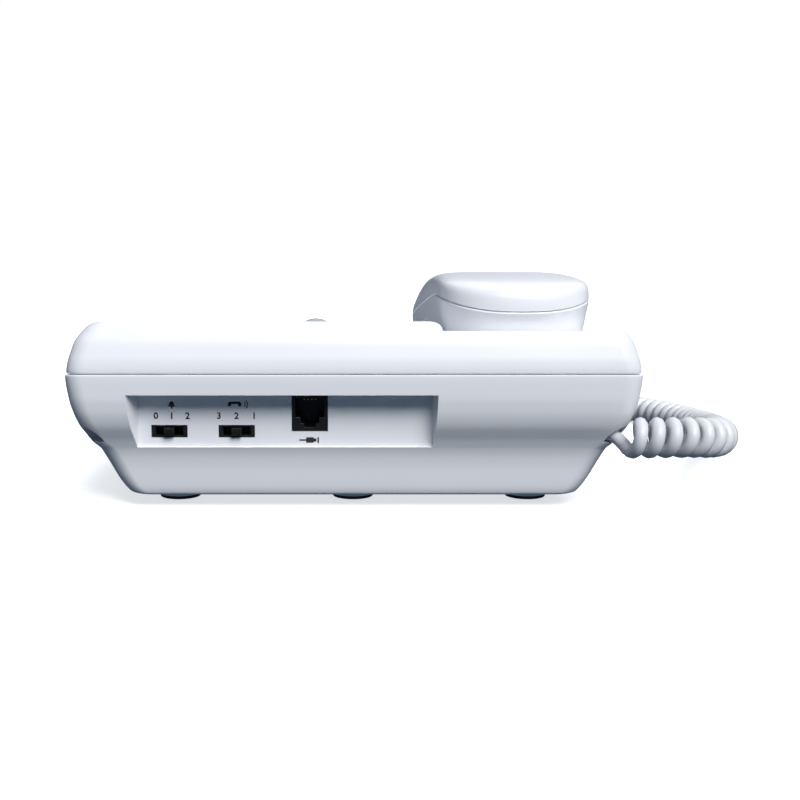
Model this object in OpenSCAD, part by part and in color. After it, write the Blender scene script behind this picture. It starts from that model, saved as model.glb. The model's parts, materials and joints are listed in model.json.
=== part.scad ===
// Corded desk telephone: wedge-shaped base with keypad deck, handset in its cradle, curly cord.
// The origin is on the table under the middle of the base, +Y is the rear and +Z is up.

/* [Base] */
// Width of the base over its lip
base_w = 195; // [185:1:205]
// Depth of the base over its lip
base_d = 205; // [200:1:215]
// Height of the deck above the table at the rear lip
deck_rear_h = 66.5; // [66:0.5:69]
// Height of the deck at the front lip as a share of the rear, both above the plinth's foot
front_share = 0.62; // [0.6:0.01:0.7]
// Height of the joint between the two housings at the rear
joint_h = 48.2; // [47:0.1:49.5]
// Thickness of the housing walls
wall = 2.5; // [2:0.1:2.8]
// Height of the plinth's lower edge above the table
plinth_h = 4.5; // [4:0.5:5]
// Plan radius of the base corners
corner_r = 7; // [5:0.5:9]

/* [Cradle and handset] */
// Drop from the keypad deck to the cradle deck
cradle_drop = 3.5; // [2.8:0.1:4]
// Position across the base of the step between the keypad deck and the cradle
cradle_step_x = -29.6; // [-31:0.1:-29]
// Position across the base of the middle of the handset
handset_x = -57.2; // [-57.6:0.1:-57]
// Length of the handset
handset_l = 188; // [184:1:190]
// Width of the handset
handset_w = 53.5; // [52.5:0.5:54]
// Height of the handset's back above the cradle deck at its middle
handset_crown = 27; // [26:0.5:30]
// Height of the handset's back above the cradle deck at its ends
handset_end_h = 15.6; // [15:0.1:18]
// Depth that the handset's cups reach below the cradle deck
cup_depth = 9; // [7:0.5:10]

/* [Keys] */
// Width of a digit key
key_w = 24; // [20:0.5:25]
// Length of a digit key down the deck
key_l = 18; // [16:0.5:19]
// Height of a key above the deck
key_h = 2.3; // [2:0.1:3]
// Travel of a key
key_travel = 1.5; // [1:0.1:1.6]

/* [Rear panel] */
// Position across the base of the ringer switch
ringer_x = 63; // [60:0.5:65]
// Position across the base of the handset volume switch
volume_x = 40; // [38:0.5:42]
// Position across the base of the line socket
line_x = 15; // [12:0.5:18]
// Height of both slide switches above the table
switch_z = 27.8; // [27.5:0.1:29]
// Width of a slide switch's window
switch_w = 12.4; // [12:0.1:14]

/* [Curly cord] */
// Outer diameter of the coil
coil_od = 14; // [12:0.5:14.5]
// Diameter of the cord itself
cord_d = 4.6; // [4:0.1:5]

/* [Hidden] */
$fn = 48;
eps = 0.01;
half_w = base_w / 2;
half_d = base_d / 2;
deck_slope = atan((deck_rear_h - plinth_h) * (1 - front_share) / base_d);

// Wedge: heights shrink linearly from the rear lip to the front lip.
function wedge(y) = 1 - (1 - front_share) * (half_d - y) / base_d;
function wedge_z(y, z) = plinth_h + (z - plinth_h) * wedge(y);
function deck_z(y) = wedge_z(y, deck_rear_h);
function arc_steps(n) = [for (i = [0:n]) i / n];

// Plan outline of the base, inset all round, by its own amount at the rear.
corner_steps = 5;
function base_ring(inset, rear_inset) = [
    for (q = [0:3]) for (s = arc_steps(corner_steps))
        let (a = 90 * (q + s), sx = q == 0 || q == 3 ? 1 : -1, sy = q < 2 ? 1 : -1)
        [sx * (half_w - inset - corner_r) + corner_r * cos(a),
         sy * (half_d - (sy > 0 ? rear_inset : inset) - corner_r) + corner_r * sin(a)]
];
function lift_ring(ring, z) = [for (p = ring) [p[0], p[1], wedge_z(p[1], z)]];

// Closed solid through a stack of rings with the same number of points, lowest ring first.
module ring_stack(rings) {
    n = len(rings[0]);
    m = len(rings);
    pts = [for (r = rings) each r];
    sides = [
        for (j = [0:m - 2]) for (i = [0:n - 1])
            let (a = j * n + i, b = j * n + (i + 1) % n)
            each [[a, a + n, b], [b, a + n, b + n]]
    ];
    bottom = [for (i = [1:n - 2]) [0, i, i + 1]];
    top = [for (i = [1:n - 2]) [(m - 1) * n, (m - 1) * n + i + 1, (m - 1) * n + i]];
    polyhedron(points = pts, faces = concat(sides, bottom, top), convexity = 8);
}

module base_stack(profile) {
    ring_stack([
        for (p = profile) lift_ring(base_ring(p[0], len(p) > 2 ? p[2] : p[0]), p[1])
    ]);
}

// Profiles as [inset from the lip, height at the rear, rear inset where the rear is steeper].
lower_profile = [
    [19.5, plinth_h, 12.6], [17.6, plinth_h + 1.6, 11.2], [13, 14.8, 9.7], [9.6, 21.8, 7.9],
    [8.4, 22.8, 7.4], [6.2, 25.2, 6.1], [3.9, 30, 3.2], [2.1, 35, 1.3], [0.9, 40, 0.4],
    [0.2, 44.5, 0.1], [0, joint_h]
];
lower_cavity = [
    [21, plinth_h + wall, 13.6], [17, 13, 12.4], [13, 22, 10.4], [9, 26, 8.4], [6.5, 31, 5.2],
    [4.5, 36, 3.4], [3, 42, wall], [wall, joint_h + 2]
];
upper_profile = [
    [0.4, joint_h + 0.2], [0.6, 51], [1.5, 55], [2.9, 59.6], [4.7, 62.6], [6.8, 65.2],
    [9.2, deck_rear_h]
];
upper_cavity = [
    [0.4 + wall, joint_h - 1], [0.6 + wall, 51], [1.7 + wall, 55], [3.2 + wall, 59],
    [4.8 + wall, deck_rear_h - wall - 1.5], [6.8 + wall, deck_rear_h - wall]
];

// Places children on the deck plane, with their own Z along its normal.
module on_deck(x, y, drop = 0) {
    translate([x, y, deck_z(y)]) rotate([deck_slope, 0, 0]) translate([0, 0, -drop]) children();
}
module in_handset() {
    on_deck(handset_x, 0, cradle_drop) children();
}
module block(x, y, z, size) {
    translate([x - size[0] / 2, y - size[1] / 2, z]) cube(size);
}
module slot(w, l, h, r) {
    linear_extrude(height = h) rounded(w, l, r);
}
module rounded(w, l, r) {
    union() {
        square([w - 2 * r, l], center = true);
        square([w, l - 2 * r], center = true);
        for (sx = [-1, 1]) for (sy = [-1, 1])
            translate([sx * (w / 2 - r), sy * (l / 2 - r)]) circle(r = r, $fn = 24);
    }
}

// ---- Places shared by several sub-parts ----
recess_y = half_d - 8.5;
recess_x = [-26.9, 73.6];
recess_outer_x = [-28.3, 76.6];
recess_z = [22.4, 41.3];
jack_face = [12.2, 13.2];
jack_z = 27.8;
foot_r = 8.4;
foot_boss_z = 1.3;
pad_r = 7.4;
pad_h = 2.4;
foot_rear_y = half_d - 32.7;
foot_places = [[63, foot_rear_y], [0, foot_rear_y], [-63, foot_rear_y], [63, -68], [-63, -68]];
case_screw_places = [[71, 60], [-20, 60], [71, -76], [-20, -76]];
board_z = 12;
board_size = [112, 48, 1.6];
board_at = [20, 57];
key_flange = [2.6, 1.1];
mat_drop = wall + 1.5 + key_travel + 0.4;
mat_h = 1.4;
board_h = 1.6;
keypad_size = [96, 124];
keypad_at = [34, -12];
column_x = [4, 34, 64];
row_y = [32, 8, -16, -40];
function_y = -63.5;
function_w = 20;
function_l = 11;
pillar_r = 3.4;
pilot_r = 1.5;
lens_at = [13, 84];
lens_r = 4.1;
hook_u = 62;
notch_at = [half_w - 9.5, half_d - 9.5];
notch_z = 25.6;
notch_r = 4.3;
notch_sill = 1.4;
notch_depth = 11.5;
blind_notch_depth = 5;
notch_lump_w = 17;
small_face = [12, 12];
socket_depth = 13;
speaker_at = [57, -32];

// ---- Base housings ----
module case_post(p) {
    translate([p[0], p[1], plinth_h]) cylinder(r = 4.8, h = 17);
}
module case_post_bores(p) {
    translate([p[0], p[1], plinth_h - 1]) cylinder(r = 3.4, h = 12);
    translate([p[0], p[1], plinth_h]) cylinder(r = 1.7, h = 20);
}
module recess_pocket() {
    translate([0, 0, recess_z[0]])
        linear_extrude(height = recess_z[1] - recess_z[0])
            polygon([
                [recess_outer_x[0], half_d + 1], [recess_outer_x[1], half_d + 1],
                [recess_x[1], recess_y], [recess_x[0], recess_y]
            ]);
}
// Frame of a rear corner's notch: Y points out of the corner along its diagonal.
module at_notch(side) {
    translate([side * notch_at[0], notch_at[1], notch_z]) rotate([0, 0, -45 * side]) children();
}
// An arch through the corner, on a flat sill at the waist; the handset cord leaves the -X one.
module corner_notch(side, depth) {
    at_notch(side) translate([0, -depth, 0]) intersection() {
        rotate([-90, 0, 0]) cylinder(r = notch_r, h = 30);
        block(0, 15, -notch_sill, [2 * notch_r, 30, 2 * notch_r]);
    }
}
module notch_lump(side, depth) {
    at_notch(side) translate([-notch_lump_w / 2, -depth, -notch_lump_w / 2])
        cube([notch_lump_w, depth + 6, notch_lump_w]);
}
board_post_places = [[-30, 39], [70, 75], [-30, 75], [30, 39]];
board_post_r = 3;
board_screw_r = 1.1;
module board_post(p) {
    translate([p[0], p[1], plinth_h + 1]) cylinder(r = board_post_r, h = board_z - plinth_h - 1);
}
switch_window_h = 4.4;
speaker_slot = [2, 24, 6];
speaker_slot_pitch = 5;

module bottom_housing() {
    color([0.93, 0.93, 0.95])
    difference() {
        union() {
            difference() {
                base_stack(lower_profile);
                base_stack(lower_cavity);
            }
            intersection() {
                base_stack(lower_profile);
                translate([recess_outer_x[0] - wall, recess_y - wall, 8])
                    cube([recess_outer_x[1] - recess_outer_x[0] + 2 * wall, 12, 36]);
            }
            intersection() {
                base_stack(lower_profile);
                union() {
                    notch_lump(-1, notch_depth + socket_depth + 1);
                    notch_lump(1, notch_depth + wall);
                }
            }
            for (p = foot_places)
                translate([p[0], p[1], foot_boss_z]) cylinder(r = foot_r, h = plinth_h - foot_boss_z + 1);
            for (p = case_screw_places) case_post(p);
            for (p = board_post_places) board_post(p);
        }
        recess_pocket();
        for (x = [ringer_x, volume_x])
            block(x, recess_y - wall / 2, switch_z - switch_window_h / 2,
                  [switch_w, wall + 2, switch_window_h]);
        block(line_x, recess_y - wall / 2, jack_z - 0.1, [jack_face[0] + 0.2, wall + 2, jack_face[1] + 0.2]);
        for (p = foot_places) translate([p[0], p[1], -1]) cylinder(r = pad_r + 0.05, h = 1 + pad_h);
        for (p = case_screw_places) case_post_bores(p);
        for (p = board_post_places)
            translate([p[0], p[1], plinth_h + 2]) cylinder(r = board_screw_r, h = 12);
        corner_notch(-1, notch_depth);
        corner_notch(1, blind_notch_depth);
        at_notch(-1) translate([-small_face[0] / 2 - 0.05, -notch_depth - 20, -small_face[1] / 2 - 0.05])
            cube([small_face[0] + 0.1, 20, small_face[1] + 0.1]);
        for (i = [-3:3])
            block(speaker_at[0] + i * speaker_slot_pitch, speaker_at[1], plinth_h - 1, speaker_slot);
    }
}

// The cups are narrower at the cradle deck than at the joint, so the pocket is too.
cradle_margin = -1.4;
pocket_drop = cup_depth + 0.6;
// A long scoop across the cradle, for the fingers that lift the handset by its grip.
scoop_r = 66;
scoop_axis_v = 58;
scoop_from_x = -60;
scoop_l = 86;
// A gap in the front rim, for the cord that leaves the handset.
cord_gap = [15, 30, 30];
cord_gap_v = -5;
module cradle_pocket() {
    in_handset() translate([0, 0, -pocket_drop])
        linear_extrude(height = 40) handset_plan(cradle_margin);
    in_handset() translate([scoop_from_x, 0, scoop_axis_v]) rotate([0, 90, 0])
        cylinder(r = scoop_r, h = scoop_l, $fn = 120);
    in_handset() block(0, -handset_l / 2 - 6, cord_gap_v, cord_gap);
}
module handset_plan(grow) {
    polygon([for (p = handset_ring(-grow, function(y) 0)) [p[0], p[1]]]);
}
module key_hole(p) {
    on_deck(p[0], p[1], 10) slot(p[2] + 0.8, p[3] + 0.8, 20, 3.4);
}
// Key places as [x, y, width, length]; column 0 is the user's left.
function digit_place(i) = [column_x[i % 3], row_y[floor(i / 3)], key_w, key_l];
function function_place(i) = [column_x[i], function_y, function_w, function_l];

module top_pillar(p) {
    top = deck_z(p[1]) - 1;
    translate([p[0], p[1], plinth_h + 17.2]) cylinder(r = pillar_r, h = top - plinth_h - 17.2);
}
module top_housing() {
    color([0.95, 0.95, 0.97])
    difference() {
        union() {
            difference() {
                base_stack(upper_profile);
                difference() {
                    base_stack(upper_cavity);
                    // Material kept under the cradle for its pocket.
                    in_handset() translate([-60, -130, -pocket_drop - wall]) cube([88, 260, 60]);
                }
                // Cradle deck, lower than the keypad deck.
                on_deck(cradle_step_x, 0, cradle_drop) translate([-90, -130, 0]) cube([90, 260, 30]);
            }
            // Tray under the pocket, which reaches below the joint towards the front.
            in_handset() translate([0, 0, -pocket_drop - wall])
                linear_extrude(height = pocket_drop) handset_plan(cradle_margin + wall);
            for (p = case_screw_places) top_pillar(p);
        }
        cradle_pocket();
        for (i = [0:11]) key_hole(digit_place(i));
        for (i = [0:2]) key_hole(function_place(i));
        on_deck(lens_at[0], lens_at[1], 5) cylinder(r = lens_r - 0.6, h = 10);
        for (p = case_screw_places) translate([p[0], p[1], plinth_h + 15]) cylinder(r = pilot_r, h = 10);
        in_handset() translate([0, hook_u, -pocket_drop - 6]) slot(10.8, 8.8, 8, 1.4);
    }
}

// ---- Fixed pieces of the base ----
module foot_pads() {
    color([0.12, 0.12, 0.13])
    for (p = foot_places) translate([p[0], p[1], 0]) cylinder(r = pad_r, h = pad_h - 0.05);
}
ballast_at = [2, -45];
ballast_size = [70, 44, 3];
module ballast_plate() {
    color([0.55, 0.56, 0.58]) block(ballast_at[0], ballast_at[1], plinth_h + wall, ballast_size);
}
module main_board() {
    color([0.1, 0.42, 0.24])
    difference() {
        block(board_at[0], board_at[1], board_z, board_size);
        for (p = board_post_places)
            translate([p[0], p[1], board_z - 1]) cylinder(r = board_screw_r, h = 4);
        for (p = case_screw_places) translate([p[0], p[1], board_z - 1]) cylinder(r = 5.2, h = 4);
    }
}
module keypad_board() {
    color([0.1, 0.42, 0.24])
    difference() {
        on_deck(keypad_at[0], keypad_at[1], mat_drop + mat_h + board_h + 0.01)
            block(0, 0, 0, [keypad_size[0], keypad_size[1], board_h]);
        for (p = case_screw_places) translate([p[0], p[1], 0]) cylinder(r = pillar_r + 0.6, h = 80);
    }
}
module keypad_mat() {
    color([0.75, 0.76, 0.78])
    difference() {
        on_deck(keypad_at[0], keypad_at[1], mat_drop + mat_h)
            slot(keypad_size[0] - 16, keypad_size[1] - 14, mat_h, 3);
        for (p = case_screw_places) translate([p[0], p[1], 0]) cylinder(r = pillar_r + 0.6, h = 80);
    }
}

// Modular socket: front face at y = 0 looking along +Y, standing on z = 0.
module modular_socket(face, opening_w, depth) {
    difference() {
        translate([-face[0] / 2, -depth, 0]) cube([face[0], depth, face[1]]);
        translate([-opening_w / 2, -depth + 1.5, face[1] * 0.36])
            cube([opening_w, depth, face[1] * 0.5]);
        translate([-opening_w * 0.32, -depth + 1.5, face[1] * 0.2])
            cube([opening_w * 0.64, depth, face[1] * 0.3]);
        translate([-opening_w * 0.2, -depth + 1.5, face[1] * 0.1])
            cube([opening_w * 0.4, depth, face[1] * 0.2]);
    }
}
module contact_comb(count, pitch, length) {
    for (i = [0:count - 1])
        translate([(i - (count - 1) / 2) * pitch - 0.2, -length, 0]) rotate([-2, 0, 0])
            cube([0.4, length - 1, 0.4]);
}
module line_jack() {
    color([0.1, 0.1, 0.11])
    translate([line_x, recess_y - 0.6, jack_z]) modular_socket(jack_face, 9.8, 15);
}
module line_jack_contacts() {
    color([0.85, 0.68, 0.3])
    translate([line_x, recess_y - 2.6, jack_z + jack_face[1] * 0.8]) contact_comb(4, 1.3, 8);
}
module handset_jack_frame() {
    at_notch(-1) translate([0, -notch_depth, -small_face[1] / 2]) children();
}
module handset_jack() {
    color([0.9, 0.9, 0.91]) handset_jack_frame() modular_socket(small_face, 7.8, socket_depth);
}
module handset_jack_contacts() {
    color([0.85, 0.68, 0.3])
    handset_jack_frame() translate([0, -3, 9.65]) contact_comb(4, 1.1, 7);
}

knob_travel = 2.6;
knob_size = [3.4, 2.6];
module switch_body(x) {
    translate([x, recess_y, switch_z])
    difference() {
        union() {
            translate([-switch_w / 2 + 0.1, -4, -2.1]) cube([switch_w - 0.2, 3.6, 4.2]);
            translate([-8.5, -10, -4]) cube([17, 7.2, 8]);
        }
        translate([-knob_size[0] / 2 - knob_travel - 0.4, -7, -knob_size[1] / 2 - 0.3])
            cube([knob_size[0] + 2 * knob_travel + 0.8, 10, knob_size[1] + 0.6]);
    }
}
module switch_knob(x) {
    translate([x - knob_size[0] / 2, recess_y - 6.6, switch_z - knob_size[1] / 2])
        cube([knob_size[0], 8.6, knob_size[1]]);
}
module ringer_switch_body() { color([0.1, 0.1, 0.11]) switch_body(ringer_x); }
module volume_switch_body() { color([0.1, 0.1, 0.11]) switch_body(volume_x); }
module ringer_switch_knob() { color([0.14, 0.14, 0.15]) switch_knob(ringer_x); }
module volume_switch_knob() { color([0.14, 0.14, 0.15]) switch_knob(volume_x); }

module ringer_speaker() {
    color([0.3, 0.3, 0.32])
    translate([speaker_at[0], speaker_at[1], plinth_h + wall]) union() {
        cylinder(r = 18, h = 3);
        cylinder(r = 9, h = 9);
    }
}
ringer_wire = [1.2, 47, 1.2];
ringer_wire_pitch = 3;
ringer_wire_y = 10;
module ringer_wires() {
    color([0.75, 0.12, 0.1])
    for (side = [-1, 1])
        block(speaker_at[0] + side * ringer_wire_pitch / 2, ringer_wire_y, plinth_h + wall + 1,
              ringer_wire);
}
// Stands in front of the main board and reaches up to the keypad board.
ribbon_at = [52, 32.2];
ribbon_size = [26, 0.8, 37.5];
module board_ribbon() {
    color([0.8, 0.8, 0.78]) block(ribbon_at[0], ribbon_at[1], board_z - 1, ribbon_size);
}
hook_switch_size = [16, 14, 10];
hook_switch_drop = pocket_drop + wall + 16.2;
module hook_switch() {
    color([0.12, 0.12, 0.13]) in_handset() block(0, hook_u, -hook_switch_drop, hook_switch_size);
}
module hook_plunger() {
    color([0.9, 0.9, 0.92])
    in_handset() union() {
        translate([0, hook_u, -pocket_drop - 4]) slot(10, 8, 4.2, 1);
        translate([0, hook_u, -pocket_drop - wall - 5.2]) cylinder(r = 2.2, h = 4);
    }
}
module hook_spring() {
    color([0.7, 0.7, 0.72])
    in_handset() translate([0, hook_u, -pocket_drop - wall - 6.1])
        difference() {
            cylinder(r = 4, h = 4.4);
            translate([0, 0, -1]) cylinder(r = 3, h = 8);
        }
}
module case_screws() {
    color([0.62, 0.63, 0.65])
    for (p = case_screw_places) translate([p[0], p[1], plinth_h + 8.9]) union() {
        cylinder(r = 3.1, h = 2.1);
        cylinder(r = pilot_r, h = 14);
    }
}
module board_screws() {
    color([0.62, 0.63, 0.65])
    for (p = board_post_places) translate([p[0], p[1], board_z + 1.6]) union() {
        cylinder(r = 2.3, h = 1.5);
        translate([0, 0, -5.2]) cylinder(r = board_screw_r, h = 5.7);
    }
}
module indicator_lens() {
    color([0.62, 0.64, 0.68])
    on_deck(lens_at[0], lens_at[1]) union() {
        intersection() {
            translate([0, 0, -6.1]) sphere(r = 7.5);
            cylinder(r = lens_r, h = 3);
        }
        translate([0, 0, -3.2]) cylinder(r = lens_r - 0.7, h = 3.3);
    }
}
module indicator_led() {
    color([0.85, 0.25, 0.2])
    on_deck(lens_at[0], lens_at[1], 8.6) cylinder(r = 1.5, h = 5);
}

// ---- Keys ----
module key(p) {
    color([0.93, 0.93, 0.94])
    on_deck(p[0], p[1]) union() {
        translate([0, 0, -wall - 0.5]) slot(p[2], p[3], wall + 0.5 + key_h, 3);
        translate([0, 0, -wall - 1.5])
            slot(p[2] + key_flange[0], p[3] + key_flange[0], key_flange[1], 3.4);
    }
}
module key_1() { key(digit_place(0)); }
module key_2() { key(digit_place(1)); }
module key_3() { key(digit_place(2)); }
module key_4() { key(digit_place(3)); }
module key_5() { key(digit_place(4)); }
module key_6() { key(digit_place(5)); }
module key_7() { key(digit_place(6)); }
module key_8() { key(digit_place(7)); }
module key_9() { key(digit_place(8)); }
module key_star() { key(digit_place(9)); }
module key_0() { key(digit_place(10)); }
module key_hash() { key(digit_place(11)); }
module key_flash() { key(function_place(0)); }
module key_redial() { key(function_place(1)); }
module key_mute() { key(function_place(2)); }

// ---- Handset, in its own frame: Y along it, Z along the deck's normal, 0 on the cradle deck ----
shell = 2.2;
handset_joint_end = 6.2;
handset_joint_rise = 9.3;
end_fullness = 0.78;
end_steps = 9;
side_steps = 12;
// The +X half of the handset's outline from its -Y tip to its +Y tip, with full, rounded ends.
function handset_half(inset) =
    let (r = handset_w / 2 - inset, straight = handset_l / 2 - handset_w / 2)
    concat(
        [for (s = arc_steps(end_steps))
            [r * pow(sin(90 * s), end_fullness), -straight - r * pow(cos(90 * s), end_fullness)]],
        [for (s = [1:side_steps - 1]) [r, -straight + 2 * straight * s / side_steps]],
        [for (s = arc_steps(end_steps))
            [r * pow(cos(90 * s), end_fullness), straight + r * pow(sin(90 * s), end_fullness)]]
    );
function handset_ring(inset, z_of) =
    let (half = handset_half(inset), m = len(half) - 1)
    concat(
        [for (p = half) [p[0], p[1], z_of(p[1])]],
        [for (i = [m - 1:-1:1]) [-half[i][0], half[i][1], z_of(half[i][1])]]
    );
// Closed solid through handset rings; its ends are capped across the width, so they may be arched.
module handset_stack(rings) {
    n = len(rings[0]);
    m = len(rings);
    h = n / 2;
    pts = [for (r = rings) each r];
    sides = [
        for (j = [0:m - 2]) for (i = [0:n - 1])
            let (a = j * n + i, b = j * n + (i + 1) % n)
            each [[a, a + n, b], [b, a + n, b + n]]
    ];
    function across(o, i) = [o + i, o + i + 1, o + n - i - 1, o + (n - i) % n];
    bottom = [for (i = [0:h - 1]) let (q = across(0, i))
        each (i == 0 ? [[q[0], q[1], q[2]]] : i == h - 1 ? [[q[0], q[1], q[3]]]
            : [[q[0], q[1], q[2]], [q[0], q[2], q[3]]])];
    top = [for (i = [0:h - 1]) let (q = across((m - 1) * n, i))
        each (i == 0 ? [[q[0], q[2], q[1]]] : i == h - 1 ? [[q[0], q[3], q[1]]]
            : [[q[0], q[2], q[1]], [q[0], q[3], q[2]]])];
    polyhedron(points = pts, faces = concat(sides, bottom, top), convexity = 8);
}
// The joint and the back are long low arches: both fall towards the handset's ends.
function along(y, power) = 1 - pow(abs(2 * y / handset_l), power);
function joint_v(y) = handset_joint_end + handset_joint_rise * along(y, 5);
function back_v(y) = handset_end_h + (handset_crown - handset_end_h) * along(y, 2);
// Profile of the back as [inset, share of its height over the joint].
back_profile = [
    [0, 0], [0.1, 0.3], [0.5, 0.6], [1.8, 0.8], [5, 0.93], [11, 0.99], [20, 1]
];
module back_solid(inset, drop, low) {
    handset_stack([
        for (p = back_profile)
            handset_ring(p[0] + inset, function(y)
                joint_v(y) + (p[1] == 0 ? low : p[1] * (back_v(y) - joint_v(y)) - drop))
    ]);
}
module face_solid(inset, floor_z) {
    handset_stack([
        handset_ring(inset + 5.4, function(y) floor_z),
        handset_ring(inset + 3.6, function(y) floor_z + 2.2),
        handset_ring(inset + 2.6, function(y) floor_z + 7),
        handset_ring(inset, function(y) joint_v(y))
    ]);
}
grip_r = 64;
grip_top = 8;
// Room for the fingers between the cups.
module grip_gap(extra) {
    translate([-50, 0, grip_top - grip_r]) rotate([0, 90, 0])
        cylinder(r = grip_r + extra, h = 100, $fn = 120);
}
handset_screw_places = [[12, 34], [12, -36]];
screw_ledge_v = 8;
screw_post_top = 14.4;
module at_handset_screws() {
    for (p = handset_screw_places) translate([p[0], p[1], 0]) children();
}
module handset_back_shell() {
    color([0.95, 0.95, 0.97])
    in_handset() difference() {
        union() {
            difference() {
                back_solid(0, 0, 0.15);
                back_solid(shell, shell, -1);
            }
            intersection() {
                back_solid(0.5, 0.5, 0.8);
                at_handset_screws() translate([0, 0, screw_post_top]) cylinder(r = 3.2, h = 20);
            }
        }
        at_handset_screws() cylinder(r = 1.3, h = 19.2);
    }
}
ear_u = 66;
mic_u = -68;
module handset_face_shell() {
    color([0.93, 0.93, 0.95])
    in_handset() difference() {
        union() {
            difference() {
                face_solid(0, -cup_depth);
                difference() {
                    translate([0, 0, shell]) face_solid(shell, -cup_depth);
                    grip_gap(shell);
                }
            }
            at_handset_screws() translate([0, 0, -6]) cylinder(r = 4.4, h = 6 + screw_post_top);
        }
        grip_gap(0);
        at_handset_screws() translate([0, 0, -20]) cylinder(r = 2.8, h = 20 + screw_ledge_v);
        at_handset_screws() cylinder(r = 1.5, h = 20);
        for (a = [0:60:300]) translate([7 * cos(a), ear_u + 7 * sin(a), -12]) cylinder(r = 1.1, h = 8);
        translate([0, ear_u, -12]) cylinder(r = 1.1, h = 8);
        for (i = [-1:1]) translate([i * 4, mic_u, -12]) cylinder(r = 0.9, h = 8);
        translate([0, -handset_l / 2 - 5, -0.3]) cube([12.4, 34, 12.2], center = true);
    }
}
module ear_receiver() {
    color([0.2, 0.2, 0.22])
    in_handset() translate([0, ear_u, -cup_depth + shell + 1.6]) union() {
        cylinder(r = 17, h = 4);
        cylinder(r = 9, h = 8);
    }
}
module receiver_gasket() {
    color([0.12, 0.12, 0.12])
    in_handset() translate([0, ear_u, -cup_depth + shell]) difference() {
        cylinder(r = 17, h = 1.6);
        translate([0, 0, -1]) cylinder(r = 12, h = 4);
    }
}
module microphone() {
    color([0.75, 0.75, 0.76])
    in_handset() translate([0, mic_u, -cup_depth + shell + 1]) cylinder(r = 4.8, h = 5);
}
module microphone_boot() {
    color([0.12, 0.12, 0.12])
    in_handset() translate([0, mic_u, -cup_depth + shell]) difference() {
        cylinder(r = 6.4, h = 6.6);
        translate([0, 0, 1]) cylinder(r = 4.8, h = 8);
        translate([0, 0, -1]) cylinder(r = 3, h = 4);
    }
}
module handset_weight() {
    color([0.5, 0.5, 0.53]) in_handset() block(0, 24, 12.8, [14.4, 30, 5.5]);
}
handset_socket_front = -handset_l / 2 + 2;
module handset_socket() {
    color([0.9, 0.9, 0.91])
    in_handset() translate([0, handset_socket_front, -6.3]) rotate([0, 0, 180])
        modular_socket(small_face, 7.8, socket_depth);
}
module handset_wires() {
    color([0.75, 0.12, 0.1])
    in_handset() for (i = [0, 1]) block(2.4 * i - 1.2, -8, 11, [1.2, 110, 1.2]);
}
module handset_screws() {
    color([0.62, 0.63, 0.65])
    in_handset() at_handset_screws() union() {
        translate([0, 0, screw_ledge_v - 1.8]) cylinder(r = 2.5, h = 1.75);
        translate([0, 0, screw_ledge_v - 1]) cylinder(r = 1.25, h = 12);
    }
}

// ---- Curly cord ----
function unit(v) = v / norm(v);
function side_of(t) = unit(cross(t, [0, 0, 1]));
function tangent(path, i) =
    unit(path[min(i + 1, len(path) - 1)] - path[max(i - 1, 0)]);
module tube(path, d, sides) {
    r = d / 2;
    ring_stack([
        for (i = [0:len(path) - 1])
            let (t = tangent(path, i), s = side_of(t), u = cross(t, s))
            [for (k = [0:sides - 1]) path[i] + r * (cos(360 * k / sides) * s + sin(360 * k / sides) * u)]
    ]);
}
// Middle line of the coil: out of the base's notch, round to the front, up to the handset.
coil_path = [
    [-93.8, 102.7, 27], [-103, 102, 27], [-114, 99, 26.6], [-123.5, 92, 25.3], [-129, 81, 24],
    [-133.5, 66, 22], [-139, 48, 19.5], [-146, 28, 16.5], [-153.5, 6, 13], [-160, -16, 10],
    [-164, -38, 8], [-163, -60, 7], [-157, -80, 7], [-148, -97, 7], [-135, -112, 7],
    [-118, -123, 7], [-99, -129, 8], [-82, -131, 11], [-70, -129, 18], [-63, -125, 26]
];
base_tail_path = [
    [-80, 85, 26.6], [-84.5, 89.5, 26.7], [-88.6, 94, 26.6], [-91.2, 98, 25], [-92.6, 100.8, 24],
    [-93.9, 102.6, 23.8]
];
handset_tail_path = [
    [-64, -122.5, 28.5], [-65.5, -117.5, 33], [-62.5, -112.5, 36.8], [-59, -107, 39.4],
    [handset_x, -100, 40.5]
];
plug_size = [7.4, 11, 4.6];
plug_lift = -1.3;
module base_cord_plug() {
    color([0.85, 0.87, 0.9])
    at_notch(-1) translate([-plug_size[0] / 2, -notch_depth - plug_size[1], plug_lift]) cube(plug_size);
}
module base_cord_tail() {
    color([0.93, 0.93, 0.94]) tube(base_tail_path, cord_d, 10);
}
module cord_coil() {
    color([0.93, 0.93, 0.94]) tube(coil_path, coil_od, 12);
}
module handset_cord_tail() {
    color([0.93, 0.93, 0.94]) tube(handset_tail_path, cord_d, 10);
}
module handset_cord_plug() {
    color([0.85, 0.87, 0.9])
    in_handset() translate([-plug_size[0] / 2, -handset_l / 2 - 6, plug_lift - 0.5]) cube(plug_size);
}

bottom_housing();
top_housing();
foot_pads();
ballast_plate();
main_board();
keypad_board();
keypad_mat();
line_jack();
line_jack_contacts();
handset_jack();
handset_jack_contacts();
ringer_switch_body();
volume_switch_body();
ringer_switch_knob();
volume_switch_knob();
ringer_speaker();
ringer_wires();
board_ribbon();
hook_switch();
hook_plunger();
hook_spring();
case_screws();
board_screws();
indicator_lens();
indicator_led();
key_1();
key_2();
key_3();
key_4();
key_5();
key_6();
key_7();
key_8();
key_9();
key_star();
key_0();
key_hash();
key_flash();
key_redial();
key_mute();
handset_back_shell();
handset_face_shell();
ear_receiver();
receiver_gasket();
microphone();
microphone_boot();
handset_weight();
handset_socket();
handset_wires();
handset_screws();
base_cord_plug();
base_cord_tail();
cord_coil();
handset_cord_tail();
handset_cord_plug();
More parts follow.
